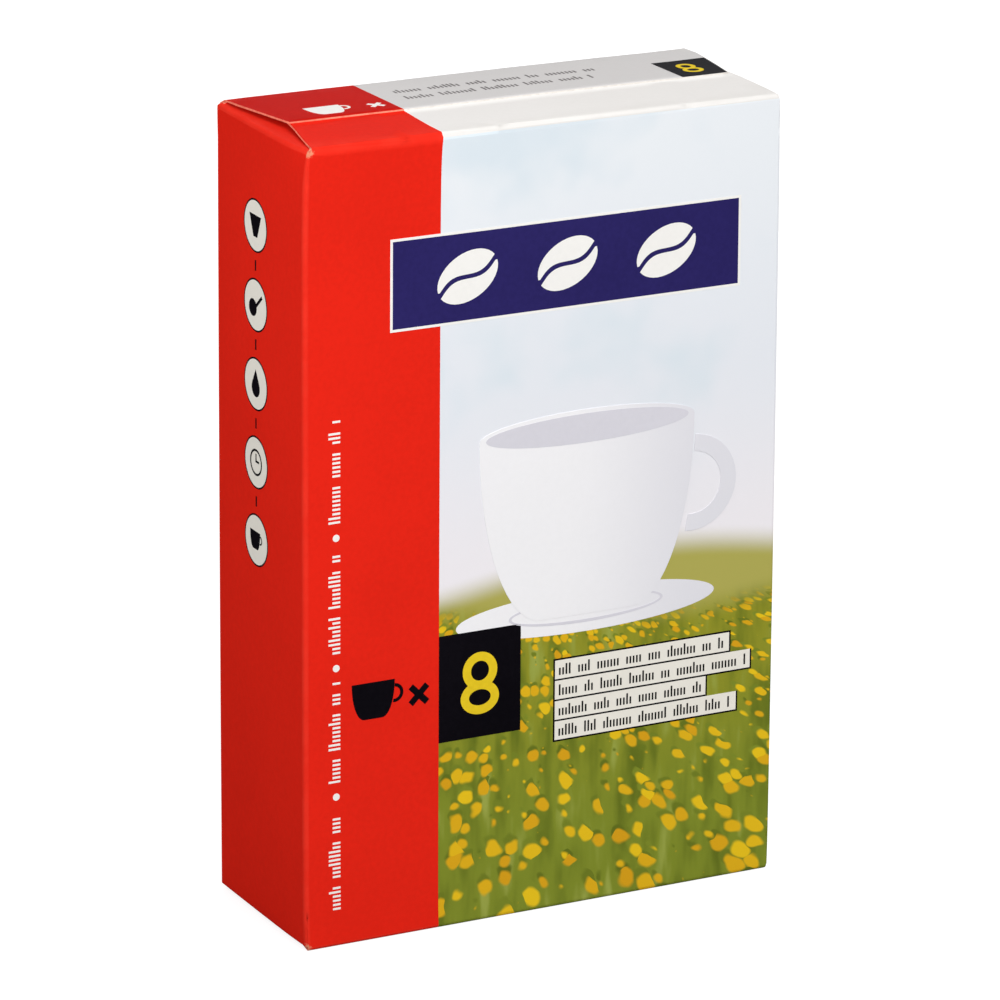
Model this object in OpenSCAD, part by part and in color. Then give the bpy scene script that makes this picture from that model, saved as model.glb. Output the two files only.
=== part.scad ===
// Closed folding carton for cone coffee filters, standing upright.
// X runs along its width, Y from the front panel to the back one, Z up.
// The origin is in the middle of the face that it stands on.
// One blank of board is folded round the packed filters and glued shut, so it is one solid.
// At each end the dust flaps fold in first, then the inner flap, and the outer flap is glued on top.

/* [Carton] */
// Width across the two side panels
body_w = 119.5; // [90:0.5:160]
// Depth from the front panel to the back panel
body_d = 45.5; // [36:0.5:60]
// Height of the front panel between its two folds
panel_h = 186; // [120:1:260]
// Thickness of the board
board = 0.45; // [0.3:0.05:0.6]

/* [Folds] */
// Outer radius of the upright folds between the panels
upright_r = 0.9; // [0.7:0.1:1.5]
// Outer radius of the folds of the top's inner and outer flaps
top_r = 1.6; // [1:0.1:2.5]
// Outer radius of the folds of the bottom's inner and outer flaps
base_r = 1; // [0.8:0.1:2]
// Outer radius of the folds of the top's dust flaps
dust_r = 2; // [1:0.1:3]
// Distance from the back corner to the raw edge of the glued upright seam
seam_setback = 1.3; // [1:0.1:2]

/* [Outer flaps] */
// Depth of an outer flap from its fold on the back panel to its free edge
outer_depth = 27; // [22:0.5:30]
// Distance from each side panel to an outer flap at its fold
outer_fold_inset = 1.5; // [0.8:0.1:3]
// Distance from each side panel to an outer flap at its free edge
outer_edge_inset = 4.2; // [2:0.1:7]

/* [Inner flaps] */
// Distance from each side panel to an inner flap at its fold on the front panel
inner_fold_inset = 0.5; // [0.2:0.1:2]
// Mean distance from the side panels to an inner flap where it goes under the outer one
inner_edge_inset = 4.3; // [2.5:0.1:7]
// How far the top's inner flap lies off to the right there
inner_slip = 0.9; // [0:0.1:1.5]

/* [Dust flaps] */
// How far the top's dust flaps lie below the inner flap's fold
dust_drop = 0.4; // [0.2:0.05:0.8]
// How far the bottom's dust flaps lie above the outer flap
dust_lift = 0.3; // [0.2:0.05:0.6]
// Slope of the top's dust flaps from their folds up towards the middle, in degrees
dust_slope = 1.2; // [0:0.1:2]
// Length of the stretch at each end where the flaps stand clear of a dust flap
loose_w = 9; // [8:0.5:14]

/* [Crown] */
// How far the middle of the top stands above its two ends
crown = 0.45; // [0.1:0.05:1.2]
// Rise of the top's inner flap from its fold to the outer flap's free edge
ridge_rise = 0.9; // [0.6:0.05:1.6]

/* [Hidden] */
$fn = 96;
print_red = "#d4261c";
// How far a flap's section reaches down its panel, into the tube
grip = 8;
// How far the inner flap reaches under the outer one
under_lap = 3;
// How far an outer flap's free edge is pressed into the inner flap
press = 0.08;
// Width of the strip behind a fold that the bed fills
fold_w = top_r + board;
// Segments of the whole circle that the crowned top is a short arc of
crown_fn = 900;
front_y = -body_d / 2;
back_y = body_d / 2;
edge_y = back_y - outer_depth;
inner_reach = edge_y - front_y;
crown_r = pow(body_w / 2, 2) / (2 * crown) + crown / 2;
crown_angle = 2 * asin((body_w / 2 + board) / crown_r);
// Heights where the flaps of an end start and finish, above the plane of the inner flap's fold:
// the inner flap's fold, its outer face under the outer flap's free edge, and the outer flap's fold.
// The top's outer flap is scored a board's thickness further out, so that it can lie over the inner one.
top_heights = [0, ridge_rise, board];
base_heights = [0, press - board, 0];

// Section of a panel's end and the flap folded over from it, drawn with X outward and Y inward.
// The panel's outer face is at y = 0, and the two outer faces would meet at the origin.
module folded_edge(radius, slope, reach) {
    turn = 90 - slope;
    tangent = radius * tan(turn / 2);
    translate([-grip, 0]) square([grip - tangent, board]);
    translate([-tangent, radius]) {
        intersection() {
            difference() {
                circle(r = radius);
                circle(r = radius - board);
            }
            polygon([[0, 0], for (a = [0, turn / 2, turn]) 2 * radius * [cos(a - 90), sin(a - 90)]]);
        }
        rotate(-slope) translate([radius - board, 0]) square([board, reach / cos(slope) - tangent]);
    }
}

// Section of an inner flap, which folds over from the front panel
module inner_section(radius, heights) {
    slope = atan((heights[1] - heights[0]) / inner_reach);
    translate([heights[0], front_y]) folded_edge(radius, slope, inner_reach + under_lap);
}

// Section of an outer flap, which folds over from the back panel
module outer_section(radius, heights) {
    slope = atan((heights[1] + board - press - heights[2]) / outer_depth);
    mirror([0, 1]) translate([heights[2], -back_y]) folded_edge(radius, slope, outer_depth);
}

// Section of the packed filling and dust flaps, up to the middle of the board that folds round them
module bed_section(radius, heights) {
    half = board / 2;
    middle = radius - half;
    corner = [for (a = [0, 45, 90]) [middle * sin(a) - radius, radius - middle * cos(a)]];
    polygon([
        [-grip, front_y + half],
        for (i = [0, 1, 2]) [heights[0] + corner[i][0], front_y + corner[i][1]],
        [heights[1] - half, edge_y],
        [heights[1] + half, edge_y + board],
        for (i = [2, 1, 0]) [heights[2] + corner[i][0], back_y - corner[i][1]],
        [-grip, back_y - half],
    ]);
}

// Sweeps a section, drawn with X up and Y to the back, along the crowned top
module along_crown() {
    translate([0, 0, crown - crown_r]) rotate([0, -90, 0]) rotate([-90, 0, 0]) rotate(-crown_angle / 2)
        rotate_extrude(angle = crown_angle, $fn = crown_fn) translate([crown_r, 0]) children();
}

// Sweeps a section, drawn with X up and Y to the back, straight along the width
module along_width() {
    rotate([0, -90, 0]) linear_extrude(2 * body_w, center = true) children();
}

// Sweeps a section, drawn with X up and Y along the width, straight along the depth
module along_depth() {
    rotate([0, -90, 0]) rotate([-90, 0, 0]) linear_extrude(2 * body_d, center = true) children();
}

// Plan of an inner flap, which tapers away from its fold
module inner_plan(slip) {
    ends = [for (side = [-1, 1]) [
        side * (body_w / 2 - inner_fold_inset),
        side * (body_w / 2 - inner_edge_inset) + slip,
    ]];
    lap = 1 + under_lap / inner_reach;
    polygon([
        [ends[0][0], front_y],
        [ends[1][0], front_y],
        [ends[1][0] + (ends[1][1] - ends[1][0]) * lap, edge_y + under_lap],
        [ends[0][0] + (ends[0][1] - ends[0][0]) * lap, edge_y + under_lap],
    ]);
}

// Plan of an outer flap, which tapers away from its fold
module outer_plan() {
    at_fold = body_w / 2 - outer_fold_inset;
    at_edge = body_w / 2 - outer_edge_inset;
    polygon([[-at_fold, back_y], [-at_edge, edge_y], [at_edge, edge_y], [at_fold, back_y]]);
}

// Plan of the bed, which joins the flaps between their two loose ends and fills their folds further out
module bed_plan() {
    square([body_w - 2 * loose_w, body_d], center = true);
    for (side = [-1, 1])
        translate([0, side * (body_d - fold_w) / 2]) square([body_w - 2 * dust_r, fold_w], center = true);
}

// Plan of a rectangle with the upright folds' radius at its corners
module folded_plan(w, d) {
    square([w - 2 * upright_r, d], center = true);
    square([w, d - 2 * upright_r], center = true);
    for (x = [-1, 1], y = [-1, 1])
        translate([x * (w / 2 - upright_r), y * (d / 2 - upright_r)]) circle(r = upright_r);
}

// Plan of the tube: the right panel's raw edge is glued over a strip folded round from the back panel
module tube_plan() {
    translate([-board / 2, 0]) folded_plan(body_w - board, body_d);
    difference() {
        folded_plan(body_w, body_d);
        translate([body_w / 2 - dust_r, back_y - seam_setback]) square([2 * dust_r, 2 * seam_setback]);
    }
}

// Elevation of a rectangle with its ends' corners rounded, drawn with X up
module rounded_ends(low, high, low_r, high_r, w) {
    middle = (low + high) / 2;
    for (side = [-1, 1]) scale([1, side]) {
        translate([low, 0]) square([middle - low, w / 2 - low_r]);
        translate([middle, 0]) square([high - middle, w / 2 - high_r]);
        translate([low + low_r, 0]) square([high - low - low_r - high_r, w / 2]);
        translate([low + low_r, w / 2 - low_r]) circle(r = low_r);
        translate([high - high_r, w / 2 - high_r]) circle(r = high_r);
    }
}

// The tube from the front: its side panels fold over into the dust flaps, which slope up from there
module side_profile() {
    high = panel_h - dust_drop;
    run = body_w / 2 - dust_r;
    rise = loose_w * tan(dust_slope);
    rounded_ends(board + dust_lift, high, base_r, dust_r, body_w);
    polygon([
        [high - dust_r, -run],
        [high, -run],
        [high + rise, loose_w - run],
        [high + rise, run - loose_w],
        [high, run],
        [high - dust_r, run],
    ]);
}

// The tube from the side: its ends tuck in behind the flaps' folds
module tuck_profile() {
    rounded_ends(board, panel_h - dust_drop, base_r, top_r, body_d);
    translate([panel_h / 2, top_r - body_d / 2]) square([panel_h, body_d - 2 * top_r]);
}

// The four panels, the dust flaps and the packed filters behind them
module tube() {
    intersection() {
        linear_extrude(2 * panel_h) tube_plan();
        along_depth() side_profile();
        along_width() tuck_profile();
    }
}

// Cuts a swept section to the plan of its flap
module cut_to_plan() {
    intersection() {
        children(0);
        linear_extrude(4 * grip, center = true) children(1);
    }
}

// The crowned top, whose flaps slope up to the outer one's free edge
module top_closure() {
    translate([0, 0, panel_h]) {
        cut_to_plan() {
            along_crown() inner_section(top_r, top_heights);
            inner_plan(inner_slip);
        }
        cut_to_plan() {
            along_crown() outer_section(top_r, top_heights);
            outer_plan();
        }
        cut_to_plan() {
            along_crown() bed_section(top_r, top_heights);
            bed_plan();
        }
    }
}

// The flat bottom: the outer flap and the inner flap's fold rest on the ground
module bottom_closure() {
    mirror([0, 0, 1]) {
        cut_to_plan() {
            along_width() inner_section(base_r, base_heights);
            inner_plan(0);
        }
        cut_to_plan() {
            along_width() outer_section(base_r, base_heights);
            outer_plan();
        }
        cut_to_plan() {
            along_width() bed_section(base_r, base_heights);
            bed_plan();
        }
    }
}

module carton() {
    color(print_red) {
        tube();
        top_closure();
        bottom_closure();
    }
}

carton();
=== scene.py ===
"""Looks of a printed, glued folding carton for cone coffee filters.

The frame is the CAD's: X along the width, Y from the front panel to the back one, Z up, in metres.
Sizes below are in millimetres and become metres where a mesh is made.
"""

import math
import random

import bmesh
import bpy
from mathutils import Matrix, Vector, noise


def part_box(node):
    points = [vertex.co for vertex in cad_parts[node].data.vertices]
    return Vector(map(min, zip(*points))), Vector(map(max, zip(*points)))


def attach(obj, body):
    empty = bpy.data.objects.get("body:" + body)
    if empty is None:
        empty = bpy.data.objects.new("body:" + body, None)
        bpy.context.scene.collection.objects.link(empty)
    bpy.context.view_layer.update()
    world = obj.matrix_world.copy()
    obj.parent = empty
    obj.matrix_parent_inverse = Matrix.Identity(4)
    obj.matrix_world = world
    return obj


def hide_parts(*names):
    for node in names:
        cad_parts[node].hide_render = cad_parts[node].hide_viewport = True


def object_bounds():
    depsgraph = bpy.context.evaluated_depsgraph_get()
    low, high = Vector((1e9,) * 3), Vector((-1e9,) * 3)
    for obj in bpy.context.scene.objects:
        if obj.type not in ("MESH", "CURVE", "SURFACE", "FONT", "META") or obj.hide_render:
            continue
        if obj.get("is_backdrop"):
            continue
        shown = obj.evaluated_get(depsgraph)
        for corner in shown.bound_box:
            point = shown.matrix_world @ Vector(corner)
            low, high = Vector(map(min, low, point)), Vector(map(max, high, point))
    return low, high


MM = 0.001

# The carton, as the CAD has it
PANEL_H = 186.0
FOLD_R = 0.9
TOP_R = 1.6
DUST_R = 2.0
DUST_DROP = 0.4
BASE_R = 1.0
BOARD = 0.45
CROWN = 0.45
RIDGE = 1.27
OUTER_DEPTH = 27.0
OUTER_EDGE_INSET = 4.2
OUTER_FOLD_INSET = 1.5
INNER_EDGE_INSET = 5.2
INNER_RIGHT_INSET = 3.4
INNER_FOLD_INSET = 0.5
SEAM_SETBACK = 1.3

# How the real board departs from flat panels, always inside the CAD's box
SLACK = 0.22
SIDE_BOW = 0.1
FACE_BOW = 0.04
DISH = 0.05
TAPER = 0.3
RIPPLE = 0.05
RIPPLE_W = 42.0
RIPPLE_H = 65.0
RIGHT_SEED, LEFT_SEED, BACK_SEED, FRONT_SEED = 3.7, 9.1, 5.3, 1.9

# How far the front's upright folds are pressed in near the carton's ends
PINCH = 1.5
BASE_PINCH = 0.35
RIGHT_PINCH = 0.3
PINCH_REACH = 5.0

# How far the top leans, and how much lower it lies away from its left end
TILT = 0.45
TOP_DROP, FRONT_DROP = 0.48, 0.3
DROP_FROM, DROP_FULL = -55.0, -19.0
RIGHT_EASE, EASE_FROM = 0.35, 50.0

# How far the ends of the top's flaps are shifted
FLAP_SLIP, INNER_SLIP = 1.25, 0.33
RIGHT_SLIP, RIGHT_INNER_SLIP = 1.4, 0.9
RIGHT_FULL, RIGHT_FADE = 0.15, 0.7
SLIP_REACH = 1.35
FREE_EDGE_MARGIN = 0.3

# How tightly the folds round the top are creased, and from where on the panels
TIGHT_R = 1.1
FOLD_EASE = 2.0
CREASE_FROM, CREASE_FULL = 8.0, 3.0

# How far from a panel's ends the front flaps' sections are drawn in to the upright folds
ROUND_FROM, ROUND_FULL = 2.0, 6.0

# Grid that the panels are cut into, and the finer cuts near the upright folds and the ends
CELL = 5.0
CREASE_BAND = 0.4
FOLD_CUTS = (0.7, FOLD_R)
END_CUTS = (3.6, 5.0, 6.5, 8.0, 10.0, 13.0)

# How near two places are that count as one, and the angles of flat and sharp edges in degrees
HAIR, FOLD_MARGIN, CLOSE = 0.01, 0.02, 0.05
MERGE, SLIVER, OUTLINE_MERGE = 0.001, 0.003, 0.004
FLAT_ANGLE, SHARP_ANGLE = 0.05, 35.0

# How squarely a flap's end, a free edge, the front and an underside look along their axes
END_FACING, EDGE_FACING, FRONT_FACING, DOWN_FACING = 0.9, 0.7, 0.6, 0.3

# The red field's right edge, and how high above the panel the outer flap's painted shade starts
RED_EDGE = -26.2
FLAP_RISE = 0.1

# How far a layer of ink stands out and reaches in, and the grid that it is cut into
INK_STEP = 0.03
INK_ROOT = 0.08
INK_CELL = 8.0

# Camera, from the corners of the carton in the photograph
CAMERA_AZIMUTH = -27.06
CAMERA_ELEVATION = 18.32
CAMERA_ROLL = 0.36
CAMERA_DISTANCE = 1584.8
CAMERA_TARGET = (0.53, 0.0, 91.55)
CAMERA_LENS = 252.0
SENSOR = 36.0

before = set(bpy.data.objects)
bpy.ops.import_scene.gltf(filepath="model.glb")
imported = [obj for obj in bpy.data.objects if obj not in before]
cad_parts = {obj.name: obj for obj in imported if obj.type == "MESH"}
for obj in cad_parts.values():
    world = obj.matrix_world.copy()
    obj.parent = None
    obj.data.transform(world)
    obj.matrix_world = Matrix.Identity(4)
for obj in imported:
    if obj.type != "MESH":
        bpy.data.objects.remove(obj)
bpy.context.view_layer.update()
carton_low, carton_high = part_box("carton")
HALF_W = (carton_high.x - carton_low.x) / 2 / MM
HALF_D = (carton_high.y - carton_low.y) / 2 / MM
TOP_Z = carton_high.z / MM
FLAP_EDGE_Y = HALF_D - OUTER_DEPTH
DUST_TOP = PANEL_H - DUST_DROP


# Form


def share(value):
    """A number kept between 0 and 1."""
    return max(0.0, min(1.0, value))


def pinch(x, y, z):
    """How far the front's upright folds are pressed in, most at the top and on the left."""
    if y > 0:
        return 0.0
    away = max(0.0, min(z, PANEL_H - z))
    amount = PINCH * math.exp(-away / PINCH_REACH)
    amount *= 1.0 if z > PANEL_H / 2 else BASE_PINCH
    return amount * (1.0 if x < 0 else RIGHT_PINCH)


def top_drop(x, y):
    """How far the top lies lower than the CAD's at a place, which is least at its left end."""
    across = share((x - DROP_FROM) / (DROP_FULL - DROP_FROM))
    across *= 1 - RIGHT_EASE * share((x - EASE_FROM) / (HALF_W - EASE_FROM))
    back = share((y + HALF_D) / (FLAP_EDGE_Y + HALF_D))
    return TOP_DROP * across * (FRONT_DROP + (1 - FRONT_DROP) * back)


def tighten(away, radius):
    """Where a point at a distance inside a fold's corner lies once the fold is creased tighter."""
    if away < radius:
        return away * TIGHT_R / radius if away > 0 else away
    if away > radius + FOLD_EASE:
        return away
    return TIGHT_R + (away - radius) * (1 + (radius - TIGHT_R) / FOLD_EASE)


def crease(x, y, z):
    """Moves a point to where it lies once the top's folds are creased tighter than the CAD's."""
    crest = PANEL_H + CROWN * (1 - (x / HALF_W) ** 2) + (BOARD if y > 0 else 0)
    from_face, from_side = HALF_D - abs(y), HALF_W - abs(x)
    by_face, by_side = share(2 - from_face / TOP_R), share(2 - from_side / DUST_R)
    up_face = by_face * (crest - z - tighten(crest - z, TOP_R))
    up_side = by_side * (DUST_TOP - z - tighten(DUST_TOP - z, DUST_R))
    near_top = share((z - PANEL_H + CREASE_FROM) / (CREASE_FROM - CREASE_FULL))
    face_out = near_top * (from_face - tighten(from_face, TOP_R))
    side_out = near_top * (from_side - tighten(from_side, DUST_R)) if z < DUST_TOP + HAIR else 0.0
    x += math.copysign(side_out, x)
    y += math.copysign(face_out, y)
    return x, y, z + max(up_face, up_side)


def flap_side(y):
    """How far the outer flap reaches from the middle at a depth."""
    along = (HALF_D - y) / OUTER_DEPTH
    return HALF_W - OUTER_FOLD_INSET - (OUTER_EDGE_INSET - OUTER_FOLD_INSET) * along


def flap_slip(x, y, z):
    """How far the ends of the top's flaps are shifted to the right, to where they really end."""
    if z < DUST_TOP + CLOSE:
        return 0.0
    along = share((HALF_D - y) / OUTER_DEPTH)
    forward = (FLAP_EDGE_Y - y) / (FLAP_EDGE_Y + HALF_D)
    if y > FLAP_EDGE_Y - FREE_EDGE_MARGIN:
        near_end = share(1 - (flap_side(y) - abs(x)) / SLIP_REACH)
        if x > 0:
            fade = 1 - RIGHT_FADE * along**2
            return RIGHT_SLIP * near_end * share(along / RIGHT_FULL) * fade
        return FLAP_SLIP * near_end * along
    if x > 0:
        near_end = share(1 - (HALF_W - INNER_RIGHT_INSET - x) / SLIP_REACH)
        return RIGHT_INNER_SLIP * near_end * (1 - forward)
    inset = INNER_EDGE_INSET + (INNER_FOLD_INSET - INNER_EDGE_INSET) * forward
    near_end = share(1 - (HALF_W - inset + x) / SLIP_REACH)
    straight = INNER_SLIP + (PINCH - INNER_SLIP) * forward
    return near_end * (straight - pinch(x, y, z) * (y / HALF_D) ** 4)


def ripple(u, v, seed):
    """Slow waves in the board of one panel, from -1 to 1."""
    return noise.noise(Vector((u / RIPPLE_W, v / RIPPLE_H, seed)))


def settle(p):
    """Moves a point of the ideal carton, in millimetres, to where the real board lies."""
    x, y, z = p
    slip = flap_slip(x, y, z)
    x, y, z = crease(x, y, z)
    across = max(-1.0, min(1.0, x / HALF_W))
    deep = max(-1.0, min(1.0, y / HALF_D))
    level = share(z / PANEL_H)
    ends = (2 * level - 1) ** 2
    side_seed = RIGHT_SEED if x > 0 else LEFT_SEED
    face_seed = BACK_SEED if y > 0 else FRONT_SEED
    side_in = SLACK + SIDE_BOW * ends + DISH * deep**2 + TAPER * level + pinch(x, y, z) * deep**4
    face_in = SLACK + FACE_BOW * ends + DISH * across**2
    side_in += RIPPLE * ripple(y, z, side_seed) * (1 - deep**4)
    face_in += RIPPLE * ripple(x, z, face_seed) * (1 - across**4)
    height = z * (1 - SLACK / TOP_Z) - TILT * across * level**2 - top_drop(x, y) * level**8
    return Vector((x - side_in * across + slip, y - face_in * deep, height))


def top_height(x, y):
    """Height of the outer flap's face above the ground."""
    along = (HALF_D - y) / OUTER_DEPTH
    return PANEL_H + BOARD + (RIDGE - BOARD) * along + CROWN * (1 - (x / HALF_W) ** 2)


# Each panel's own flat coordinates: u to the right and v up for someone who faces it
def on_front(u, v, lift):
    return Vector((u, -HALF_D - lift, v))


def on_left(u, v, lift):
    return Vector((-HALF_W - lift, -u, v))


def on_top(u, v, lift):
    return Vector((u, v, top_height(u, v) + lift))


def steps(low, high, size):
    """Evenly spaced cuts between two places, about a size apart."""
    count = max(1, round((high - low) / size))
    return [low + (high - low) * i / count for i in range(count + 1)]


def cut(bm, axis, place):
    """Cuts every face along the plane where one coordinate has a value."""
    point, normal = Vector((0, 0, 0)), Vector((0, 0, 0))
    point[axis], normal[axis] = place, 1
    geometry = bm.verts[:] + bm.edges[:] + bm.faces[:]
    bmesh.ops.bisect_plane(bm, geom=geometry, dist=HAIR, plane_co=point, plane_no=normal)


def finish_of(centre, normal):
    """Which finish a face of the ideal carton has."""
    x, y, z = centre
    in_red = x < RED_EDGE
    at_top = z > PANEL_H - TOP_R
    at_base = z < BASE_R
    end_cut = abs(normal.x) > END_FACING and abs(x) < HALF_W - BOARD
    free_cut = normal.y < -EDGE_FACING and abs(y - FLAP_EDGE_Y) < BOARD
    flap_cut = (at_top or at_base) and (end_cut or free_cut)
    seam_cut = normal.y > EDGE_FACING and abs(y - (HALF_D - SEAM_SETBACK)) < CLOSE and x > 0
    underside = at_top and normal.z < -DOWN_FACING
    if flap_cut or seam_cut or underside:
        return "raw_red" if in_red else "raw_edge"
    # The outer flap gets darker copies of the red and pale: painted shade
    if z > PANEL_H + FLAP_RISE and y > FLAP_EDGE_Y:
        return "flap_shaded_red" if in_red else "flap_shaded_pale"
    if in_red:
        return "red"
    front_panel = y < FOLD_R - HALF_D and normal.y < -FRONT_FACING
    front_foot = y < TOP_R - HALF_D and at_base
    return "picture" if (front_panel or front_foot) and not at_top else "pale"


def fold_rub_highlight_at(p):
    """1 on the carton's folds, where the varnish is scuffed and the red also gets a painted
    highlight.
    """
    x, y, z = p
    near_side = HALF_W - abs(x) < FOLD_R + FOLD_MARGIN
    near_face = HALF_D - abs(y) < FOLD_R + FOLD_MARGIN
    over_face = HALF_D + y < TOP_R and z > PANEL_H - TOP_R
    over_side = HALF_W - abs(x) < DUST_R and z > PANEL_H - DUST_R
    under = z < BASE_R and (HALF_D - abs(y) < BASE_R or HALF_W - abs(x) < BASE_R)
    return 1.0 if near_side and near_face or over_face or over_side or under else 0.0


def rounded(p):
    """Draws a front flap's section in to the upright fold's round, except near its own fold."""
    x, y, z = p
    past = min(FOLD_R, FOLD_R - HALF_W + abs(x))
    if past <= 0 or y > FOLD_R - HALF_D:
        return p
    round_y = FOLD_R - math.sqrt(FOLD_R**2 - past**2) - HALF_D
    from_end = min(z, PANEL_H - z)
    if y < round_y:
        y += (round_y - y) * share((from_end - ROUND_FROM) / (ROUND_FULL - ROUND_FROM))
    return Vector((x, y, z))


def carton_mesh(materials):
    """The CAD's carton, cut into small cells, given its finishes and settled like real board."""
    bm = bmesh.new()
    bm.from_mesh(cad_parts["carton"].data)
    bmesh.ops.scale(bm, vec=(1 / MM,) * 3, verts=bm.verts)
    bmesh.ops.remove_doubles(bm, verts=bm.verts, dist=MERGE)
    flat = math.radians(FLAT_ANGLE)
    bmesh.ops.dissolve_limit(bm, angle_limit=flat, verts=bm.verts, edges=bm.edges)
    inner_w, inner_d = HALF_W - FOLD_R - CREASE_BAND, HALF_D - FOLD_R - CREASE_BAND
    low_z, high_z = BASE_R + CREASE_BAND, PANEL_H - DUST_R - CREASE_BAND
    for place in steps(-inner_w, inner_w, CELL) + [RED_EDGE]:
        cut(bm, 0, place)
    for place in steps(-inner_d, inner_d, CELL):
        cut(bm, 1, place)
    for place in steps(low_z, high_z, CELL):
        cut(bm, 2, place)
    for inset in FOLD_CUTS:
        cut(bm, 0, HALF_W - inset)
        cut(bm, 0, inset - HALF_W)
    for inset in END_CUTS:
        cut(bm, 2, inset)
        cut(bm, 2, PANEL_H - inset)
    for vert in bm.verts:
        vert.co = rounded(vert.co)
    bmesh.ops.dissolve_degenerate(bm, edges=bm.edges, dist=SLIVER)
    names = list(materials)
    fold_rub_and_highlight = bm.verts.layers.float.new("fold_rub_and_highlight")
    for face in bm.faces:
        face.material_index = names.index(finish_of(face.calc_center_median(), face.normal))
        face.smooth = True
    for vert in bm.verts:
        vert[fold_rub_and_highlight] = fold_rub_highlight_at(vert.co)
        vert.co = settle(vert.co) * MM
    mesh = bpy.data.meshes.new("carton_board")
    bm.to_mesh(mesh)
    bm.free()
    for material in materials.values():
        mesh.materials.append(material)
    mesh.set_sharp_from_angle(angle=math.radians(SHARP_ANGLE))
    return mesh


def add_piece(name, mesh):
    """A piece of the carton: it rides on the one body and has the board's finish."""
    piece = bpy.data.objects.new(name, mesh)
    bpy.context.scene.collection.objects.link(piece)
    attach(piece, "root")
    return piece


def print_layer(name, outlines, place, material, layer=1):
    """A thin layer of ink: outlines in a panel's own millimetres, laid on the settled board."""
    bm = bmesh.new()
    for outline in outlines:
        bm.faces.new([bm.verts.new((u, v, 0)) for u, v in outline])
    bmesh.ops.remove_doubles(bm, verts=bm.verts, dist=OUTLINE_MERGE)
    for face in bm.faces:
        if face.calc_area() and face.normal.z < 0:
            face.normal_flip()
    for axis in (0, 1):
        spots = [vert.co[axis] for vert in bm.verts]
        for spot in steps(min(spots), max(spots), INK_CELL)[1:-1]:
            cut(bm, axis, spot)
    bmesh.ops.triangulate(bm, faces=[face for face in bm.faces if len(face.verts) > 4])
    copied = bmesh.ops.extrude_face_region(bm, geom=bm.faces[:], use_keep_orig=True)["geom"]
    for vert in copied:
        if isinstance(vert, bmesh.types.BMVert):
            vert.co.z = 1
    for vert in bm.verts:
        u, v, outer = vert.co
        lift = INK_STEP * layer if outer else -INK_ROOT
        ideal = place(u, v, 0)
        outward = place(u, v, 1) - ideal
        vert.co = settle(ideal) * MM + outward * (lift * MM)
    bmesh.ops.recalc_face_normals(bm, faces=bm.faces)
    mesh = bpy.data.meshes.new(name)
    bm.to_mesh(mesh)
    bm.free()
    mesh.materials.append(material)
    return add_piece(name, mesh)


# Shapes of the print, as lists of closed outlines


def box_shape(left, low, right, high):
    return [[(left, low), (right, low), (right, high), (left, high)]]


def arc(cx, cy, rx, ry, start, end, count):
    """Points on an ellipse's arc, with angles in degrees."""
    angles = [math.radians(start + (end - start) * i / count) for i in range(count + 1)]
    return [(cx + rx * math.cos(a), cy + ry * math.sin(a)) for a in angles]


def disc(cx, cy, rx, ry=None, count=32):
    return [arc(cx, cy, rx, ry or rx, 0, 360, count)[:-1]]


def ring(cx, cy, radius, width, count, ry=None, start=0, end=360):
    """A band along an ellipse, of quads, outside its radius."""
    ry = ry or radius
    inner = arc(cx, cy, radius, ry, start, end, count)
    outer = arc(cx, cy, radius + width, ry + width, start, end, count)
    return [[inner[i], outer[i], outer[i + 1], inner[i + 1]] for i in range(count)]


def frame_shape(left, low, right, high, width):
    """A rectangle's outline, just outside it."""
    inner = box_shape(left, low, right, high)[0]
    outer = box_shape(left - width, low - width, right + width, high + width)[0]
    return [[outer[i - 1], outer[i], inner[i], inner[i - 1]] for i in (1, 2, 3, 0)]


def turned(outlines, degrees):
    """Outlines turned about the origin."""
    cos, sin = math.cos(math.radians(degrees)), math.sin(math.radians(degrees))
    return [[(u * cos - v * sin, u * sin + v * cos) for u, v in outline] for outline in outlines]


def moved(outlines, du, dv, size=1.0):
    """Outlines scaled about the origin, then moved."""
    return [[(du + size * u, dv + size * v) for u, v in outline] for outline in outlines]


def upright(outlines, u):
    """Turns a row drawn along v = 0 so that it reads upwards at u."""
    return [[(u - across, along) for along, across in outline] for outline in outlines]


CUP_FOOT, CUP_FLARE = 0.26, 0.36
GRIP_U, GRIP_V, GRIP_R, GRIP_W = 0.61, 0.62, 0.17, 0.09
GRIP_START, GRIP_END = -98, 86
SIDE_POINTS, MOUTH_POINTS, GRIP_POINTS = 16, 24, 20


def cup_shape(rim=0.0):
    """A plain cup from the side, one unit high, that stands on the origin.

    The rim is how far its mouth's far side is seen to rise above it.
    """
    side = arc(CUP_FOOT, 1, CUP_FLARE, 1, 0, -90, SIDE_POINTS)
    mouth = arc(0, 1, CUP_FOOT + CUP_FLARE, rim, 0, 180, MOUTH_POINTS)[1:-1] if rim else []
    body = mouth + [(-u, v) for u, v in side] + side[::-1]
    band = ring(GRIP_U, GRIP_V, GRIP_R, GRIP_W, GRIP_POINTS, start=GRIP_START, end=GRIP_END)
    grip = [
        [(max(u, CUP_FOOT + CUP_FLARE * math.sqrt(1 - (1 - v) ** 2)), v) for u, v in quad]
        for quad in band
    ]
    return [body] + grip


def cross_shape(size, width):
    """A multiplication sign in a square of a size, centred on the origin."""
    bar = box_shape(-size / 2, -width / 2, size / 2, width / 2)
    stub = box_shape(-size / 2, -width / 2, -width / 2, width / 2)
    stub += box_shape(width / 2, -width / 2, size / 2, width / 2)
    return turned(bar, 45) + turned(stub, -45)


BEAN_HALF_W, BEAN_SLIT = 0.34, 0.47
SLIT_BEND, SLIT_GAP = 0.07, 0.035
SLIT_ANGLE = 8
BEAN_POINTS = 18


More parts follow.
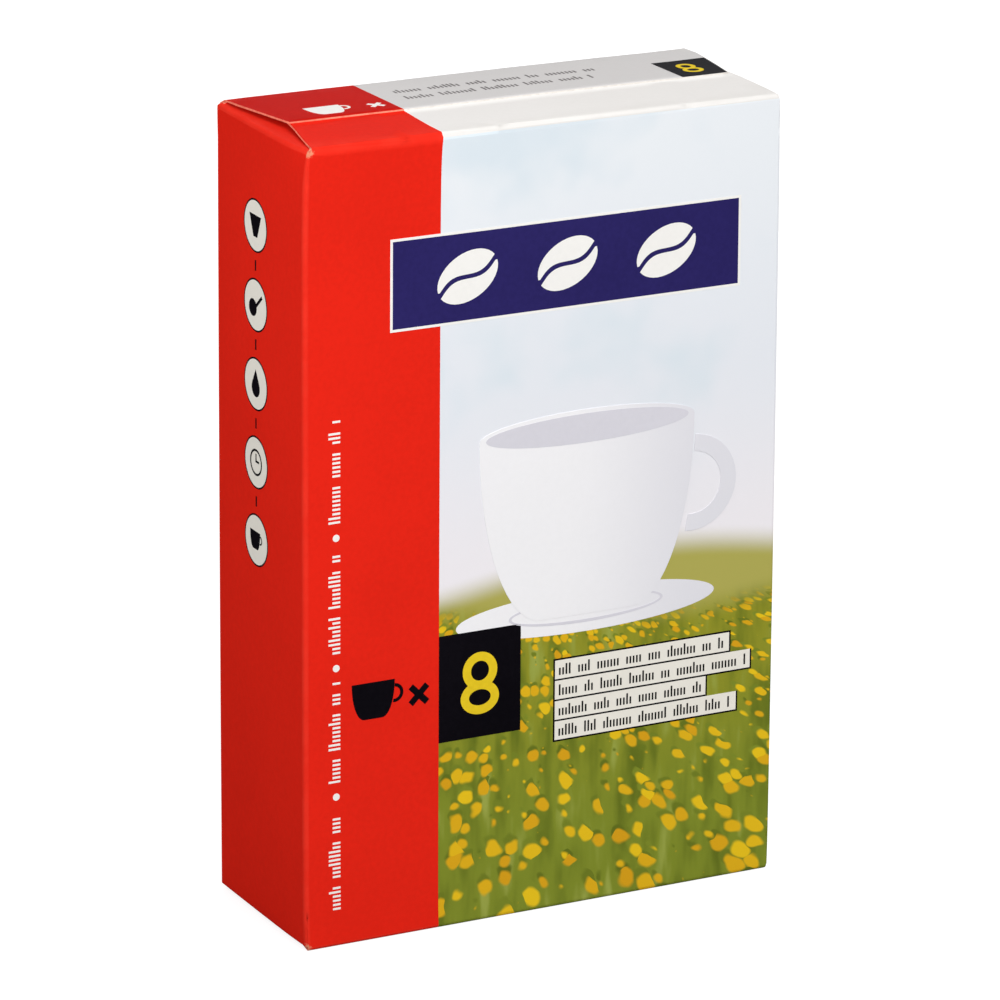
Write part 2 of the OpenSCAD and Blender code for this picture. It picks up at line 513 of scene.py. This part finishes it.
def bean_shape(length):
    """A coffee bean: two halves parted by a curved slit, centred on the origin."""
    halves = []
    for side in (1, -1):
        start, end = SLIT_ANGLE * side, (180 - SLIT_ANGLE) * side
        rim = arc(0, 0, length / 2, length * BEAN_HALF_W, start, end, BEAN_POINTS)
        slit = []
        for i in range(BEAN_POINTS + 1):
            along = BEAN_SLIT * (2 * i / BEAN_POINTS - 1)
            bend = SLIT_BEND * math.sin(2 * math.pi * i / BEAN_POINTS)
            slit.append((length * along, length * (bend + SLIT_GAP * side)))
        halves.append(rim + slit)
    return halves


LOWER_SHARE, UPPER_INSET = 0.54, 0.05
EIGHT_POINTS = 36


def eight_shape(width, height, stroke):
    """A plain figure eight of two rings, the upper one smaller, standing on the origin."""
    low_r = width / 2 - stroke
    high_r = low_r - width * UPPER_INSET
    low_h = height * LOWER_SHARE
    high_h = height - low_h + stroke
    low = ring(0, low_h / 2, low_r, stroke, EIGHT_POINTS, ry=low_h / 2 - stroke)
    high = ring(0, height - high_h / 2, high_r, stroke, EIGHT_POINTS, ry=high_h / 2 - stroke)
    return low, high


STROKE_HEIGHTS = (0.66, 0.66, 0.66, 1.0)
LEAST_STROKES, MOST_STROKES, WORD_GAP = 3, 9, 0.6


def word_shapes(draw, left, right, base, height, stroke):
    """A row of small plain strokes that stands for a line of print, between two places."""
    shapes = []
    u = left
    while u < right:
        for _ in range(draw.randint(LEAST_STROKES, MOST_STROKES)):
            if u + stroke > right:
                return shapes
            tall = height * draw.choice(STROKE_HEIGHTS)
            shapes += box_shape(u, base, u + stroke, base + tall)
            u += stroke * 2
        u += height * WORD_GAP
    return shapes


# Materials


class Nodes:
    """A material or world's node tree, with short calls for the nodes that are used here."""

    def __init__(self, tree):
        self.tree = tree
        tree.nodes.clear()

    def feed(self, socket, value):
        """Gives a socket a value, or a link if the value is another node's output."""
        if isinstance(value, bpy.types.NodeSocket):
            self.tree.links.new(value, socket)
        else:
            socket.default_value = value

    def add(self, kind, inputs=None, **settings):
        node = self.tree.nodes.new(kind)
        for name, value in settings.items():
            setattr(node, name, value)
        for name, value in (inputs or {}).items():
            self.feed(node.inputs[name], value)
        return node

    def math(self, operation, a, b=0.0):
        return self.add("ShaderNodeMath", {0: a, 1: b}, operation=operation).outputs[0]

    def ramp(self, value, low, high, start=0.0, end=1.0):
        """A smooth change from start to end as the value goes from low to high."""
        node = self.add(
            "ShaderNodeMapRange",
            {"Value": value, "From Min": low, "From Max": high, "To Min": start, "To Max": end},
            interpolation_type="SMOOTHSTEP",
        )
        return node.outputs["Result"]

    def mix(self, factor, a, b):
        """A mix of two colours, whose sockets go by place because they share their names."""
        node = self.add("ShaderNodeMix", data_type="RGBA")
        for place, value in ((0, factor), (6, a), (7, b)):
            self.feed(node.inputs[place], value)
        return node.outputs[2]

    def noise(self, vector, scale, detail, roughness=0.5):
        node = self.add(
            "ShaderNodeTexNoise",
            {"Vector": vector, "Scale": scale, "Detail": detail, "Roughness": roughness},
        )
        return node.outputs["Fac"]

    def place(self):
        """Where a point is, in metres, in the row's frame."""
        return self.add("ShaderNodeTexCoord").outputs["Object"]


def linear(value):
    """One channel of a colour, written as 0 to 255, made linear."""
    if value <= 10:
        return value / 255 / 12.92
    return ((value / 255 + 0.055) / 1.055) ** 2.4


def rgb(red, green, blue):
    """A colour written as 0 to 255, made linear."""
    return (linear(red), linear(green), linear(blue), 1.0)


def new_material(name):
    material = bpy.data.materials.new(name)
    material.use_nodes = True
    return material, Nodes(material.node_tree)


# The gloss and tooth of printed board and of cut edges, and how fine each unevenness is
SPECULAR, FLAP_SPECULAR, RAW_SPECULAR = 0.002, 0.001, 0.01
ROUGHNESS, RAW_ROUGHNESS, GLOSS_SPREAD = 0.52, 0.85, 0.06
TOOTH, RAW_TOOTH, TOOTH_HEIGHT = 0.25, 0.4, 0.03
TOOTH_SCALE, GLOSS_SCALE = 2600, 42
SLOW_SCALE, SLOW_SHARE, FIBRE_SCALE = 28, 0.6, 900
UNEVEN_LOW, UNEVEN_HIGH = 0.3, 0.7

# The folds' scuffing and painted highlight, and the two bare front corners by height on the panel
# and radius
RUB_SCALE, RUB_LOW, RUB_HIGH = 180, 0.35, 0.65
RUB_LEAST, RUB_MOST = 0.3, 0.55
BARE_CORNERS = ((0.6, 1.3), (PANEL_H - 0.8, 1.25))
BARE_BOARD = rgb(232, 142, 110)
RAGGED_SCALE = 1300
BARE_OUTER, BARE_INNER = 2.1, 1.7


def finish_board(nodes, colour, specular=SPECULAR, roughness=ROUGHNESS, tooth=TOOTH):
    """Ends a material in a board's shader, with the paper's tooth and slow waves in its gloss."""
    place = nodes.place()
    fibre = nodes.noise(place, TOOTH_SCALE, 2.0)
    patches = nodes.noise(place, GLOSS_SCALE, 3.0)
    least, most = roughness - GLOSS_SPREAD, roughness + GLOSS_SPREAD
    rough = nodes.add("ShaderNodeMapRange", {"Value": patches, "To Min": least, "To Max": most})
    relief = {"Strength": tooth, "Distance": TOOTH_HEIGHT * MM, "Height": fibre}
    bump = nodes.add("ShaderNodeBump", relief)
    surface = {
        "Base Color": colour,
        "Roughness": rough.outputs["Result"],
        "Normal": bump.outputs["Normal"],
    }
    shader = nodes.add("ShaderNodeBsdfPrincipled", surface)
    shader.inputs["Specular IOR Level"].default_value = specular
    output = nodes.add("ShaderNodeOutputMaterial")
    nodes.tree.links.new(shader.outputs[0], output.inputs["Surface"])


def mottled(nodes, colour, amount):
    """A printed colour with the slight unevenness of ink on board."""
    place = nodes.place()
    slow = nodes.math("MULTIPLY", nodes.noise(place, SLOW_SCALE, 3.0), SLOW_SHARE)
    fine = nodes.math("MULTIPLY", nodes.noise(place, FIBRE_SCALE, 2.0), 1 - SLOW_SHARE)
    uneven = nodes.ramp(nodes.math("ADD", slow, fine), UNEVEN_LOW, UNEVEN_HIGH)
    dark = tuple(channel * (1 - amount) for channel in colour[:3]) + (1.0,)
    light = tuple(min(1.0, channel * (1 + amount)) for channel in colour[:3]) + (1.0,)
    return nodes.mix(uneven, dark, light)


def near_corner(nodes, height, radius):
    """1 round a place on the front left fold, with a ragged edge."""
    place = nodes.place()
    spot, reach = settle((-HALF_W, -HALF_D, height)) * MM, radius * MM
    away = nodes.add("ShaderNodeVectorMath", {0: place, 1: spot}, operation="DISTANCE")
    ragged = nodes.math("MULTIPLY", nodes.noise(place, RAGGED_SCALE, 4.0, 0.6), reach * 2)
    ragged_away = nodes.math("ADD", away.outputs["Value"], ragged)
    return nodes.ramp(ragged_away, reach * BARE_OUTER, reach * BARE_INNER)


def printed_board(name, colour, rub_highlight_tone, amount, specular=SPECULAR):
    """Printed and varnished board, scuffed on its folds, with a painted highlight there on the red,
    and bare at two front corners.
    """
    material, nodes = new_material(name)
    rub_highlight_mask = nodes.add("ShaderNodeAttribute", attribute_name="fold_rub_and_highlight").outputs["Fac"]
    patches = nodes.noise(nodes.place(), RUB_SCALE, 3.0)
    patchy = nodes.ramp(patches, RUB_LOW, RUB_HIGH, RUB_LEAST, RUB_MOST)
    # On the folds the print turns to its scuffed tone; on the red this lighter tone is also a
    # painted highlight
    rub_highlight_share = nodes.math("MULTIPLY", rub_highlight_mask, patchy)
    printed = nodes.mix(rub_highlight_share, mottled(nodes, colour, amount), rub_highlight_tone)
    low, high = (near_corner(nodes, *corner) for corner in BARE_CORNERS)
    bare = nodes.math("MAXIMUM", low, high)
    finish_board(nodes, nodes.mix(bare, printed, BARE_BOARD), specular)
    return material


def raw_board(name, dark, light):
    """The board's cut edge, unevenly pale, and tinted where the ink runs over it."""
    material, nodes = new_material(name)
    fibres = nodes.noise(nodes.place(), FIBRE_SCALE, 3.0, 0.6)
    colour = nodes.mix(nodes.ramp(fibres, UNEVEN_LOW, UNEVEN_HIGH), dark, light)
    finish_board(nodes, colour, RAW_SPECULAR, RAW_ROUGHNESS, RAW_TOOTH)
    return material


def ink(name, colour, amount):
    material, nodes = new_material(name)
    finish_board(nodes, mottled(nodes, colour, amount))
    return material


# The front's picture: a pale sky over two soft green hills, dotted with plain yellow blots
SKY_HIGH = rgb(234, 238, 242)
SKY_MID = rgb(231, 234, 240)
SKY_LOW = rgb(241, 237, 241)
SKY_CLEAR = rgb(219, 229, 236)
HILL_FAR = rgb(176, 170, 88)
HILL_NEAR = rgb(146, 146, 44)
HILL_FOOT = rgb(128, 140, 46)
HILL_SHADE = rgb(99, 112, 34)
HILL_LIGHT = rgb(156, 166, 76)
BLOOM = rgb(234, 196, 34)
BLOOM_DEEP = rgb(216, 160, 30)

# Heights where the sky changes, its clouds, and each hill's height, swing, wave length and shift
HORIZON = 80.0
SKY_HIGH_FROM, SKY_LOW_FROM = 120.0, 128.0
CLOUD_SCALE, CLOUD_FROM, CLOUD_FULL = 26, 0.46, 0.68
FAR_HILL = (HORIZON, 4.0, 150.0, 0.6)
NEAR_HILL = (HORIZON - 8, 5.0, 170.0, 3.4)
HILL_SOFTNESS = 4.0

# The near hill's streaks, and how far below its line it has its foot's colour
GRASS_SCALE = (210, 210, 48)
GRASS_MID, GRASS_DARK, GRASS_PALE = 0.45, 0.75, 0.25
FOOT_DEPTH = 55.0

# The blots' rows, clumps, wobble, size and edge, and the way to the shade beside each
BLOT_DEPTH, BLOT_ROWS, BLOT_START = 40.0, 20.0, -2.0
CLUMP_SCALE, CLUMP_LOW, CLUMP_HIGH, CLUMP_STRAY = 0.3, 0.5, 0.85, 0.4
WOBBLE_SCALE, BLOT_WOBBLE = 1.1, 0.55
BLOT_SIZE, BLOT_RANDOM = 0.5, 0.85
BLOT_EDGE_LOW, BLOT_EDGE_HIGH = -0.02, 0.16
SHADE_OFFSET = (0.1, 0.3, 0.0)


def hill_line(nodes, across, height, swing, wave, shift):
    """Height of a hill's soft outline at each place across the panel, in millimetres."""
    angle = nodes.math("ADD", nodes.math("MULTIPLY", across, 2 * math.pi / wave), shift)
    return nodes.math("ADD", nodes.math("MULTIPLY", nodes.math("SINE", angle), swing), height)


def sky_colour(nodes, place, height):
    clouds = nodes.noise(place, CLOUD_SCALE, 3.0, 0.55)
    sky = nodes.mix(nodes.ramp(height, SKY_HIGH_FROM, PANEL_H), SKY_MID, SKY_HIGH)
    sky = nodes.mix(nodes.ramp(clouds, CLOUD_FROM, CLOUD_FULL), sky, SKY_CLEAR)
    return nodes.mix(nodes.ramp(height, SKY_LOW_FROM, HORIZON), sky, SKY_LOW)


def field_colour(nodes, place, below):
    """The near hill's colour, in upright streaks, by how far a place is below its line."""
    blades = nodes.add("ShaderNodeMapping", {"Vector": place, "Scale": GRASS_SCALE}).outputs[0]
    grass = nodes.noise(blades, 1.0, 2.0)
    field = nodes.mix(nodes.ramp(below, 0, FOOT_DEPTH), HILL_NEAR, HILL_FOOT)
    field = nodes.mix(nodes.ramp(grass, GRASS_MID, GRASS_DARK), field, HILL_SHADE)
    return nodes.mix(nodes.ramp(grass, GRASS_MID, GRASS_PALE), field, HILL_LIGHT)


def with_blots(nodes, scene, across, below):
    """A picture with blots on its near hill, smaller and closer together towards its line."""
    depth = nodes.math("MAXIMUM", nodes.math("ADD", below, BLOT_DEPTH), BLOT_DEPTH / 2)
    column = nodes.math("DIVIDE", nodes.math("MULTIPLY", across, BLOT_ROWS), depth)
    row = nodes.math("MULTIPLY", nodes.math("LOGARITHM", depth, math.e), BLOT_ROWS)
    grid = nodes.add("ShaderNodeCombineXYZ", {"X": column, "Y": row}).outputs[0]
    clumps = nodes.noise(grid, CLUMP_SCALE, 2.0)
    wobble = {"Vector": grid, "Scale": WOBBLE_SCALE, "Detail": 1.0}
    stir = nodes.add("ShaderNodeTexNoise", wobble).outputs["Color"]
    stirred = nodes.add(
        "ShaderNodeVectorMath",
        {0: stir, 1: (BLOT_WOBBLE,) * 3, 2: grid},
        operation="MULTIPLY_ADD",
    ).outputs[0]
    on_hill = nodes.ramp(below, BLOT_START, HILL_SOFTNESS)
    shade_and_bloom = ((SHADE_OFFSET, HILL_SHADE, HILL_FOOT), ((0, 0, 0), BLOOM_DEEP, BLOOM))
    for offset, dark, light in shade_and_bloom:
        spots = nodes.add("ShaderNodeVectorMath", {0: stirred, 1: offset}, operation="ADD")
        cells = nodes.add(
            "ShaderNodeTexVoronoi",
            {"Vector": spots.outputs[0], "Scale": 1.0, "Randomness": BLOT_RANDOM},
            voronoi_dimensions="2D",
        )
        tint = nodes.add("ShaderNodeSeparateXYZ", {"Vector": cells.outputs["Color"]})
        stray = nodes.math("MULTIPLY", tint.outputs["X"], CLUMP_STRAY)
        there = nodes.math("ADD", clumps, stray)
        size = nodes.ramp(there, CLUMP_LOW, CLUMP_HIGH, 0.0, BLOT_SIZE)
        edge = nodes.math("SUBTRACT", size, cells.outputs["Distance"])
        blot = nodes.math("MULTIPLY", nodes.ramp(edge, BLOT_EDGE_LOW, BLOT_EDGE_HIGH), on_hill)
        scene = nodes.mix(blot, scene, nodes.mix(tint.outputs["Y"], dark, light))
    return scene


def picture():
    material, nodes = new_material("front_picture")
    place = nodes.place()
    split = nodes.add("ShaderNodeSeparateXYZ", {"Vector": place})
    across = nodes.math("DIVIDE", split.outputs["X"], MM)
    height = nodes.math("DIVIDE", split.outputs["Z"], MM)
    far = nodes.math("SUBTRACT", hill_line(nodes, across, *FAR_HILL), height)
    near = nodes.math("SUBTRACT", hill_line(nodes, across, *NEAR_HILL), height)
    on_far = nodes.ramp(far, -HILL_SOFTNESS, HILL_SOFTNESS)
    on_near = nodes.ramp(near, -HILL_SOFTNESS, HILL_SOFTNESS)
    scene = nodes.mix(on_far, sky_colour(nodes, place, height), HILL_FAR)
    scene = nodes.mix(on_near, scene, field_colour(nodes, place, near))
    finish_board(nodes, with_blots(nodes, scene, across, near))
    return material


CUP_LIGHT, CUP_DARK = rgb(244, 243, 245), rgb(226, 225, 231)
CUP_UNEVEN = 0.012
CUP_SHADE_FROM, CUP_SHADE_FULL = 2, 44


def cup_white():
    """Off-white with a soft shade towards the right."""
    material, nodes = new_material("cup_white")
    split = nodes.add("ShaderNodeSeparateXYZ", {"Vector": nodes.place()})
    shade = nodes.ramp(split.outputs["X"], CUP_SHADE_FROM * MM, CUP_SHADE_FULL * MM)
    colour = nodes.mix(shade, mottled(nodes, CUP_LIGHT, CUP_UNEVEN), CUP_DARK)
    finish_board(nodes, colour)
    return material


# Studio

# The studio's sizes and places are in metres
CLIP_NEAR, CLIP_FAR = 0.1, 20
AMBIENT = 0.22
FLOOR_HALF, FLOOR_GLOW, FLOOR_GREY = 4, 0.84, 0.33
CARTON_MIDDLE = (0, 0, 0.09)
CARTON_LEFT = (-0.03, 0, 0.15)


def look_from(azimuth, elevation):
    """Unit vector towards a place seen at an azimuth and elevation, in degrees."""
    a, e = math.radians(azimuth), math.radians(elevation)
    return Vector((math.sin(a) * math.cos(e), -math.cos(a) * math.cos(e), math.sin(e)))


def add_camera():
    data = bpy.data.cameras.new("camera")
    data.lens, data.sensor_width = CAMERA_LENS, SENSOR
    data.clip_start, data.clip_end = CLIP_NEAR, CLIP_FAR
    camera = bpy.data.objects.new("camera", data)
    bpy.context.scene.collection.objects.link(camera)
    back = look_from(CAMERA_AZIMUTH, CAMERA_ELEVATION)
    level = (-back).cross(Vector((0, 0, 1))).normalized()
    right = Matrix.Rotation(math.radians(CAMERA_ROLL), 3, back) @ level
    up = back.cross(right)
    spot = (Vector(CAMERA_TARGET) + back * CAMERA_DISTANCE) * MM
    camera.matrix_world = Matrix.Translation(spot) @ Matrix((right, up, back)).transposed().to_4x4()
    bpy.context.scene.camera = camera


def add_lamp(name, target, azimuth, elevation, distance, size, power):
    data = bpy.data.lights.new(name, "AREA")
    data.shape, data.size, data.energy = "DISK", size, power
    lamp = bpy.data.objects.new(name, data)
    bpy.context.scene.collection.objects.link(lamp)
    way = look_from(azimuth, elevation)
    lamp.location = Vector(target) + way * distance
    lamp.rotation_mode = "QUATERNION"
    lamp.rotation_quaternion = way.to_track_quat("Z", "Y")


def add_world():
    """Even light from all round, and plain white wherever the background shows."""
    world = bpy.data.worlds.new("studio")
    bpy.context.scene.world = world
    world.use_nodes = True
    nodes = Nodes(world.node_tree)
    path = nodes.add("ShaderNodeLightPath")
    shown = nodes.math("MAXIMUM", path.outputs["Is Camera Ray"], path.outputs["Is Glossy Ray"])
    shown = nodes.math("MAXIMUM", shown, path.outputs["Is Transmission Ray"])
    light = nodes.add("ShaderNodeBackground", {"Color": (1, 1, 1, 1), "Strength": AMBIENT})
    white = nodes.add("ShaderNodeBackground", {"Color": (1, 1, 1, 1), "Strength": 1.0})
    mixed = nodes.add("ShaderNodeMixShader", {0: shown, 1: light.outputs[0], 2: white.outputs[0]})
    output = nodes.add("ShaderNodeOutputWorld")
    nodes.tree.links.new(mixed.outputs[0], output.inputs["Surface"])


def add_floor():
    """A pale floor that shows white to the camera and keeps the carton's shadow."""
    mesh = bpy.data.meshes.new("floor")
    bm = bmesh.new()
    bmesh.ops.create_grid(bm, x_segments=1, y_segments=1, size=FLOOR_HALF)
    bm.to_mesh(mesh)
    bm.free()
    floor = bpy.data.objects.new("floor", mesh)
    bpy.context.scene.collection.objects.link(floor)
    material, nodes = new_material("floor")
    path = nodes.add("ShaderNodeLightPath").outputs["Is Camera Ray"]
    glow = nodes.add("ShaderNodeEmission", {"Strength": nodes.math("MULTIPLY", path, FLOOR_GLOW)})
    matt = nodes.add("ShaderNodeBsdfDiffuse", {"Color": (FLOOR_GREY, FLOOR_GREY, FLOOR_GREY, 1)})
    both = nodes.add("ShaderNodeAddShader", {0: matt.outputs[0], 1: glow.outputs[0]})
    output = nodes.add("ShaderNodeOutputMaterial")
    nodes.tree.links.new(both.outputs[0], output.inputs["Surface"])
    mesh.materials.append(material)
    floor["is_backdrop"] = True


add_camera()
add_world()
add_lamp("key", CARTON_MIDDLE, azimuth=14, elevation=42, distance=1.4, size=1.0, power=17.2)
add_lamp("fill", CARTON_LEFT, azimuth=-71, elevation=20, distance=0.34, size=0.25, power=0.68)
add_lamp("back", CARTON_MIDDLE, azimuth=155, elevation=12, distance=1.2, size=1.0, power=7.5)
add_floor()
bpy.context.scene.view_settings.view_transform = "Standard"

# The board

RED = rgb(230, 38, 24)
PALE = rgb(236, 233, 230)
# The folds' lighter red is partly scuffed varnish and partly a painted highlight
RUB_HIGHLIGHT_RED = rgb(241, 60, 44)
RUBBED_PALE = rgb(227, 224, 220)
# The outer flap's red and pale are darker copies of the print colours: painted shade
FLAP_SHADED_RED = rgb(197, 24, 18)
FLAP_SHADED_PALE = rgb(214, 211, 210)
RED_UNEVEN, PALE_UNEVEN = 0.05, 0.012
front_picture = picture()
board_materials = {
    "red": printed_board("board_red", RED, RUB_HIGHLIGHT_RED, RED_UNEVEN),
    "pale": printed_board("board_pale", PALE, RUBBED_PALE, PALE_UNEVEN),
    "flap_shaded_red": printed_board("flap_shaded_red", FLAP_SHADED_RED, RUB_HIGHLIGHT_RED, RED_UNEVEN, FLAP_SPECULAR),
    "flap_shaded_pale": printed_board("flap_shaded_pale", FLAP_SHADED_PALE, RUBBED_PALE, PALE_UNEVEN, FLAP_SPECULAR),
    "raw_edge": raw_board("raw_edge", rgb(220, 214, 207), rgb(233, 228, 222)),
    "raw_red": raw_board("raw_red", rgb(230, 116, 94), rgb(243, 150, 126)),
    "picture": front_picture,
}
carton = add_piece("carton", carton_mesh(board_materials))
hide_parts("carton")

# The front's print

white = ink("ink_white", rgb(244, 242, 238), 0.02)
black = ink("ink_black", rgb(15, 13, 18), 0.2)
navy = ink("ink_navy", rgb(44, 38, 96), 0.1)
yellow = ink("ink_yellow", rgb(232, 200, 40), 0.06)
grey = ink("ink_grey", rgb(122, 118, 118), 0.05)
label_white = ink("label_white", rgb(238, 234, 224), 0.02)

picture_box = box_shape(RED_EDGE, BASE_R, HALF_W - FOLD_R, PANEL_H - TOP_R)
print_layer("front_picture", picture_box, on_front, front_picture)

CUP_U, CUP_V, CUP_SIZE = 11.0, 70.0, 44.0
CUP_RIM, MOUTH_INSET, MOUTH_DROP = 0.1, 0.035, 0.022
SAUCER_RISE, SAUCER_W, SAUCER_H = 1, 33.0, 5.2
WELL_RISE, WELL_W, WELL_H, WELL_LINE = 1.2, 19.0, 2.5, 0.7
china = cup_white()
cup_shade = ink("cup_shade", rgb(216, 214, 222), 0.02)
saucer = disc(CUP_U, CUP_V + SAUCER_RISE, SAUCER_W, SAUCER_H, 64)
well = ring(CUP_U, CUP_V + WELL_RISE, WELL_W, WELL_LINE, 64, ry=WELL_H)
cup_mouth = disc(0, 1, CUP_FOOT + CUP_FLARE - MOUTH_INSET, CUP_RIM - MOUTH_DROP, 48)
print_layer("saucer_print", saucer, on_front, china, 2)
print_layer("saucer_well", well, on_front, cup_shade, 3)
print_layer("cup_print", moved(cup_shape(CUP_RIM), CUP_U, CUP_V, CUP_SIZE), on_front, china, 4)
print_layer("cup_mouth", moved(cup_mouth, CUP_U, CUP_V, CUP_SIZE), on_front, cup_shade, 5)

BANNER = (-38.0, 143.0, 49.0, 163.0)
KEYLINE = 0.6
BEAN_LENGTH, BEAN_TURN, BEAN_PITCH = 16.0, 28, 25
print_layer("banner", box_shape(*BANNER), on_front, navy, 2)
print_layer("banner_keyline", frame_shape(*BANNER, KEYLINE), on_front, white, 2)
banner_u, banner_v = (BANNER[0] + BANNER[2]) / 2, (BANNER[1] + BANNER[3]) / 2
bean = turned(bean_shape(BEAN_LENGTH), BEAN_TURN)
beans = []
for number in (-1, 0, 1):
    beans += moved(bean, banner_u + number * BEAN_PITCH, banner_v)
print_layer("banner_beans", beans, on_front, white, 3)

SQUARE = (RED_EDGE, 44.7, -5.6, 70.0)
NUMBER_V, NUMBER_W, NUMBER_H, NUMBER_STROKE = 50.1, 9.7, 14.8, 2.1
SIGN_U, SIGN_V, SIGN_H = -42.6, 53.2, 8.6
TIMES_U, TIMES_V, TIMES_SIZE, TIMES_STROKE = -31.2, 57.2, 5.8, 1.5
square_u = (SQUARE[0] + SQUARE[2]) / 2
lower, upper = eight_shape(NUMBER_W, NUMBER_H, NUMBER_STROKE)
cup_sign = moved(cup_shape(), SIGN_U, SIGN_V, SIGN_H)
times_sign = moved(cross_shape(TIMES_SIZE, TIMES_STROKE), TIMES_U, TIMES_V)
print_layer("number_square", box_shape(*SQUARE), on_front, black, 3)
print_layer("number_lower", moved(lower, square_u, NUMBER_V), on_front, yellow, 4)
print_layer("number_upper", moved(upper, square_u, NUMBER_V), on_front, yellow, 5)
print_layer("cup_sign", cup_sign, on_front, black, 2)
print_layer("times_sign", times_sign, on_front, black, 2)

draw = random.Random(4)
LABEL_LEFT, LABEL_H, LABEL_LINE = 3.2, 4.45, 0.42
LABEL_TOP = 59.8
LABEL_LENGTHS = (45.0, 50.5, 39.0, 47.0)
TICK_INSET, TICK_RISE, TICK_H, TICK_W = 1, 0.9, 2.6, 0.42
plates, borders, ticks = [], [], []
for number, length in enumerate(LABEL_LENGTHS):
    top = LABEL_TOP - number * (LABEL_H + LABEL_LINE)
    low, right = top - LABEL_H, LABEL_LEFT + length
    plates += box_shape(LABEL_LEFT, low, right, top)
    over = 0 if number else LABEL_LINE
    borders += box_shape(LABEL_LEFT - LABEL_LINE, low - LABEL_LINE, right + LABEL_LINE, top + over)
    start, end = LABEL_LEFT + TICK_INSET, right - TICK_INSET
    ticks += word_shapes(draw, start, end, low + TICK_RISE, TICK_H, TICK_W)
print_layer("label_borders", borders, on_front, black, 2)
print_layer("label_plates", plates, on_front, label_white, 3)
print_layer("label_ticks", ticks, on_front, black, 4)

# The row up the red field, in stretches that are parted by dots

ROW_U, ROW_LOW, ROW_HIGH = -50.8, 9.0, 130.7
ROW_STRETCHES, ROW_GAP = 4, 6.5
ROW_TICK_H, ROW_TICK_W = 2.9, 0.5
DOT_BACK, DOT_RISE, DOT_R = 3.4, 1.0, 0.85
row_stretch = (ROW_HIGH - ROW_LOW) / ROW_STRETCHES
row, dots = [], []
for number in range(ROW_STRETCHES):
    start = ROW_LOW + row_stretch * number
    row += word_shapes(draw, start, start + row_stretch - ROW_GAP, 0, ROW_TICK_H, ROW_TICK_W)
    if number:
        dots += disc(start - DOT_BACK, DOT_RISE, DOT_R, count=16)
print_layer("side_row", upright(row, ROW_U), on_front, white, 1)
print_layer("side_dots", upright(dots, ROW_U), on_front, white, 1)

# The left panel's discs

DISC_U, DISC_R = -2.0, 5.7
DISC_TOP, DISC_PITCH = 163.0, 18.2
DISC_LINE, DISC_POINTS = 0.4, 40
DASH = box_shape(-0.3, -1.2, 0.3, 1.2)


def cone_icon():
    return [[(-3, 2.4), (-1, -2.6), (1, -2.6), (3, 2.4)]]


def scoop_icon():
    return disc(-1.4, -0.8, 2) + [[(0.1, 0.2), (0.6, -0.4), (3.6, 2.2), (3.1, 2.8)]]


def drop_icon():
    return [[(0, 3.4)] + arc(0, -0.9, 2.1, 2.1, 150, 390, 16)]


def clock_icon():
    return ring(0, 0, 2.6, 0.5, 24) + box_shape(-0.25, 0, 0.25, 2) + box_shape(0.25, 0, 1.6, 0.5)


def cup_icon():
    return moved(cup_shape(), -0.6, -2.2, 4.2)


faces, rims, icons, dashes = [], [], [], []
for number, icon in enumerate((cone_icon, scoop_icon, drop_icon, clock_icon, cup_icon)):
    v = DISC_TOP - DISC_PITCH * number
    faces += disc(DISC_U, v, DISC_R, count=DISC_POINTS)
    rims += ring(DISC_U, v, DISC_R, DISC_LINE, DISC_POINTS)
    icons += moved(icon(), DISC_U, v)
    if number:
        dashes += moved(DASH, DISC_U, v + DISC_PITCH / 2)
print_layer("disc_faces", faces, on_left, label_white, 1)
print_layer("disc_rims", rims, on_left, black, 1)
print_layer("disc_icons", icons, on_left, black, 2)
print_layer("disc_dashes", dashes, on_left, black, 1)

# The top's print

TOP_SQUARE_LEFT, TOP_SQUARE_BACK = 44.3, 11.2
SIDE_GAP, FREE_GAP = 0.15, 0.1
TOP_ROW_LEFT, TOP_TICK_H, TOP_TICK_W = -21, 2.8, 0.5
TOP_ROWS = ((30, 10.5), (26, 4.2))
top_square = [
    (TOP_SQUARE_LEFT, FLAP_EDGE_Y + FREE_GAP),
    (flap_side(FLAP_EDGE_Y) - SIDE_GAP, FLAP_EDGE_Y + FREE_GAP),
    (flap_side(TOP_SQUARE_BACK) - SIDE_GAP, TOP_SQUARE_BACK),
    (TOP_SQUARE_LEFT, TOP_SQUARE_BACK),
]
TOP_NUMBER_U, TOP_NUMBER_V = 50, -0.8
TOP_NUMBER_W, TOP_NUMBER_H, TOP_NUMBER_STROKE = 5.0, 8.4, 1.1
TOP_CUP_U, TOP_CUP_V, TOP_CUP_H = -42, -1, 7
TOP_TIMES_U, TOP_TIMES_V, TOP_TIMES_SIZE, TOP_TIMES_STROKE = -30, 2.2, 4.2, 1.1
lower, upper = eight_shape(TOP_NUMBER_W, TOP_NUMBER_H, TOP_NUMBER_STROKE)
top_cup = moved(cup_shape(), TOP_CUP_U, TOP_CUP_V, TOP_CUP_H)
top_times = moved(cross_shape(TOP_TIMES_SIZE, TOP_TIMES_STROKE), TOP_TIMES_U, TOP_TIMES_V)
top_rows = []
for right, base in TOP_ROWS:
    top_rows += word_shapes(draw, TOP_ROW_LEFT, right, base, TOP_TICK_H, TOP_TICK_W)
print_layer("top_square", [top_square], on_top, black, 1)
print_layer("top_number_lower", moved(lower, TOP_NUMBER_U, TOP_NUMBER_V), on_top, yellow, 2)
print_layer("top_number_upper", moved(upper, TOP_NUMBER_U, TOP_NUMBER_V), on_top, yellow, 3)
print_layer("top_cup", top_cup, on_top, white, 1)
print_layer("top_times", top_times, on_top, white, 1)
print_layer("top_rows", top_rows, on_top, grey, 1)

low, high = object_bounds()
